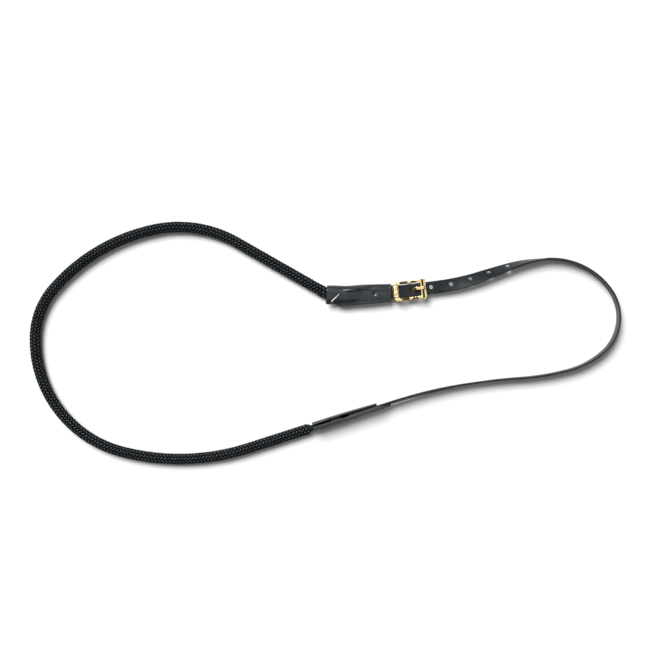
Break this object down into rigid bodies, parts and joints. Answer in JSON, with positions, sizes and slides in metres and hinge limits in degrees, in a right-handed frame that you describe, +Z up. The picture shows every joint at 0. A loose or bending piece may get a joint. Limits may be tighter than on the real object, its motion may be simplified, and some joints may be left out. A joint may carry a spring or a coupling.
{
  "type": "lead rope",
  "caption": "Closed lead-rope loop: a braided rope half and a flat leather strap half, joined by leather sleeves and an adjustable double buckle.",
  "frame": {"origin": "on the ground, under the middle of the loop's bounding box, with the loop lying flat", "axes": "+X along the buckle from the sleeve towards the strap; +Y to the outer side of the buckle; +Z up"},
  "size_m": [0.7504, 0.3106, 0.0238],
  "materials": {
    "rope_braid": "black polyester braid, slight sheen",
    "rope_core": "undyed filler yarn",
    "thread": "waxed black thread",
    "pale_thread": "waxed pale thread",
    "leather": "black bridle leather, satin",
    "brass": "polished cast brass with light wear"
  },
  "bodies": {
    "root": {"rope_cover_buckle_end": "rope_braid", "rope_core_buckle_end": "rope_core", "rope_cover_strap_end": "rope_braid", "rope_core_strap_end": "rope_core", "whipping_buckle_end": "thread", "whipping_strap_end": "thread", "buckle_sleeve": "leather", "strap_sleeve": "leather", "buckle_chape": "leather", "buckle_sleeve_stitches": "thread", "strap_sleeve_stitches": "thread", "chape_stitches": "thread", "buckle_sleeve_bar_tack": "pale_thread", "strap_sleeve_bar_tack": "pale_thread"},
    "rope_bight": {"rope_cover_bight": "rope_braid", "rope_core_bight": "rope_core"},
    "strap": {"adjusting_strap": "leather"},
    "buckle": {"buckle_frame": "brass", "centre_bar": "brass"},
    "prong": {"buckle_prong": "brass"}
  },
  "joints": [
    {"name": "rope_fold", "type": "hinge", "parent": "root", "child": "rope_bight", "pos_m": [-0.05702, -0.03232, 0.007], "axis": [0.2019, 0.9794, 0], "range_deg": [-60, 60]},
    {"name": "strap_pull", "type": "slide", "parent": "root", "child": "strap", "axis": [-1, 0, 0], "range_m": [0, 0.0069]},
    {"name": "buckle_tilt", "type": "hinge", "parent": "root", "child": "buckle", "pos_m": [0.11355, 0.02949, 0.0052], "axis": [0, 1, 0], "range_deg": [-2.5, 2.5]},
    {"name": "prong_swing", "type": "hinge", "parent": "buckle", "child": "prong", "pos_m": [0.11355, 0.02949, 0.0052], "axis": [0, -1, 0], "range_deg": [0, 80]}
  ],
  "couplings": [
    {"joint": "prong_swing", "follows": "strap_pull", "rad_per_m": 202.34}
  ]
}
